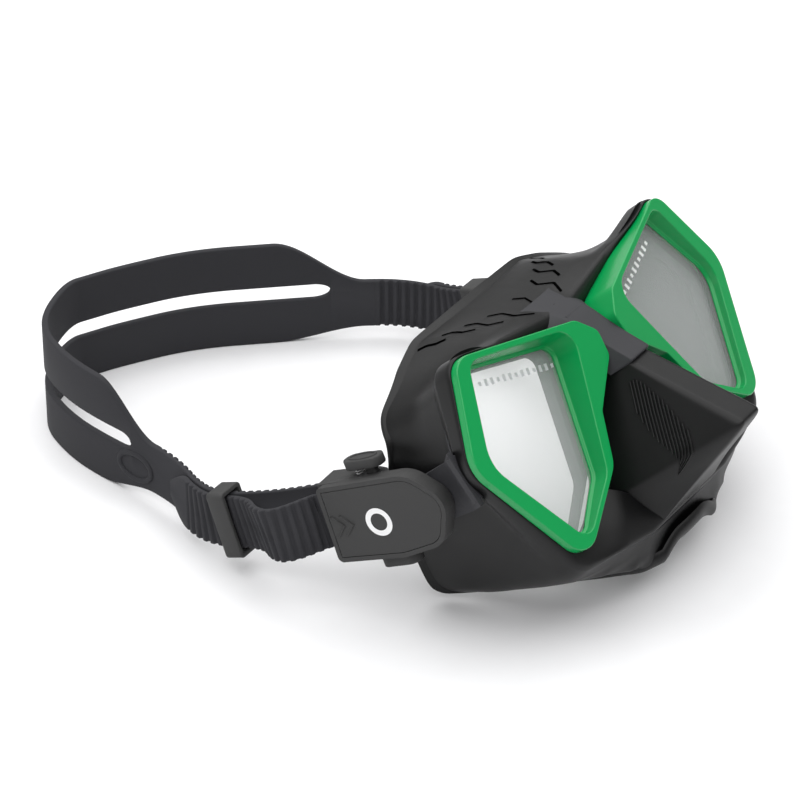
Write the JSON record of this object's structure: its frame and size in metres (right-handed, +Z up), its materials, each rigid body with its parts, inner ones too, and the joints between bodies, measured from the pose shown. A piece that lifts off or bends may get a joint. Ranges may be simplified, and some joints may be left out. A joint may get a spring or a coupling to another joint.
{
  "type": "diving mask",
  "caption": "Low-volume diving mask with separate glass lenses in bright bezels, soft skirt with nose pocket, split head strap and swivelling push-button buckles.",
  "frame": {"origin": "on the floor, in the mask's plane of symmetry, under the middle of the mask and its strap loop", "axes": "+Z up, the mask faces -Y and the strap loop lies towards +Y"},
  "size_m": [0.1844, 0.2645, 0.0967],
  "materials": {
    "skirt": "matte moulded silicone",
    "frame_plastic": "fine moulded grain",
    "lens_glass": "clear tempered glass",
    "bezel_green": "satin green",
    "strap_silicone": "matte moulded silicone",
    "buckle_plastic": "fine moulded grain",
    "cover_plastic": "fine moulded grain",
    "pin_steel": "turned steel",
    "spring_steel": "drawn wire",
    "button_plastic": "satin",
    "inner_plastic": "smooth moulded",
    "keeper_plastic": "fine moulded grain"
  },
  "bodies": {
    "mask": {"skirt": "skirt", "frame": "frame_plastic", "lens_right": "lens_glass", "lens_left": "lens_glass", "bezel_right": "bezel_green", "bezel_left": "bezel_green", "strap": "strap_silicone"},
    "buckle_right": {"buckle_housing_right": "buckle_plastic", "buckle_cover_right": "cover_plastic", "swivel_pin_right": "pin_steel", "pawl_pin_right": "pin_steel", "top_spring_right": "spring_steel", "bottom_spring_right": "spring_steel"},
    "top_button_right": {"top_button_right": "button_plastic"},
    "bottom_button_right": {"bottom_button_right": "button_plastic"},
    "strap_pawl_right": {"strap_pawl_right": "inner_plastic"},
    "strap_roller_right": {"strap_roller_right": "inner_plastic"},
    "strap_keeper_right": {"strap_keeper_right": "keeper_plastic"},
    "buckle_left": {"buckle_housing_left": "buckle_plastic", "buckle_cover_left": "cover_plastic", "swivel_pin_left": "pin_steel", "pawl_pin_left": "pin_steel", "top_spring_left": "spring_steel", "bottom_spring_left": "spring_steel"},
    "top_button_left": {"top_button_left": "button_plastic"},
    "bottom_button_left": {"bottom_button_left": "button_plastic"},
    "strap_pawl_left": {"strap_pawl_left": "inner_plastic"},
    "strap_roller_left": {"strap_roller_left": "inner_plastic"},
    "strap_keeper_left": {"strap_keeper_left": "keeper_plastic"}
  },
  "joints": [
    {"name": "buckle_swivel_right", "type": "hinge", "parent": "mask", "child": "buckle_right", "pos_m": [-0.07674, -0.05543, 0.04681], "axis": [-0.9986, -0.0474, 0.0221], "range_deg": [-20, 20], "deforming": ["strap"]},
    {"name": "top_button_press_right", "type": "slide", "parent": "buckle_right", "child": "top_button_right", "axis": [0, 0.4226, 0.9063], "range_m": [-0.001, 0], "stiffness_N_per_m": 400, "springref_m": 0.001, "deforming": ["top_spring_right"]},
    {"name": "bottom_button_press_right", "type": "slide", "parent": "buckle_right", "child": "bottom_button_right", "axis": [0, 0.4226, 0.9063], "range_m": [0, 0.001], "stiffness_N_per_m": 400, "springref_m": -0.001, "deforming": ["bottom_spring_right"]},
    {"name": "pawl_release_right", "type": "hinge", "parent": "buckle_right", "child": "strap_pawl_right", "pos_m": [-0.07729, -0.04583, 0.04234], "axis": [0, 0.4226, 0.9063], "range_deg": [-15, 0]},
    {"name": "roller_turn_right", "type": "hinge", "parent": "buckle_right", "child": "strap_roller_right", "pos_m": [-0.07429, -0.03716, 0.03829], "axis": [0, 0.4226, 0.9063], "continuous": true},
    {"name": "keeper_slide_right", "type": "slide", "parent": "mask", "child": "strap_keeper_right", "axis": [0, 0.9393, -0.3431], "range_m": [-0.003, 0.003]},
    {"name": "buckle_swivel_left", "type": "hinge", "parent": "mask", "child": "buckle_left", "pos_m": [0.07674, -0.05543, 0.04681], "axis": [0.9986, -0.0474, 0.0221], "range_deg": [-20, 20], "deforming": ["strap"]},
    {"name": "top_button_press_left", "type": "slide", "parent": "buckle_left", "child": "top_button_left", "axis": [0, 0.4226, 0.9063], "range_m": [-0.001, 0], "stiffness_N_per_m": 400, "springref_m": 0.001, "deforming": ["top_spring_left"]},
    {"name": "bottom_button_press_left", "type": "slide", "parent": "buckle_left", "child": "bottom_button_left", "axis": [0, 0.4226, 0.9063], "range_m": [0, 0.001], "stiffness_N_per_m": 400, "springref_m": -0.001, "deforming": ["bottom_spring_left"]},
    {"name": "pawl_release_left", "type": "hinge", "parent": "buckle_left", "child": "strap_pawl_left", "pos_m": [0.07729, -0.04583, 0.04234], "axis": [0, 0.4226, 0.9063], "range_deg": [0, 15]},
    {"name": "roller_turn_left", "type": "hinge", "parent": "buckle_left", "child": "strap_roller_left", "pos_m": [0.07429, -0.03716, 0.03829], "axis": [0, 0.4226, 0.9063], "continuous": true},
    {"name": "keeper_slide_left", "type": "slide", "parent": "mask", "child": "strap_keeper_left", "axis": [0, 0.9393, -0.3431], "range_m": [-0.003, 0.003]}
  ],
  "couplings": [
    {"joint": "bottom_button_press_right", "follows": "top_button_press_right", "ratio": -1},
    {"joint": "pawl_release_right", "follows": "top_button_press_right", "rad_per_m": 261.7},
    {"joint": "bottom_button_press_left", "follows": "top_button_press_left", "ratio": -1},
    {"joint": "pawl_release_left", "follows": "top_button_press_left", "rad_per_m": -261.7}
  ]
}
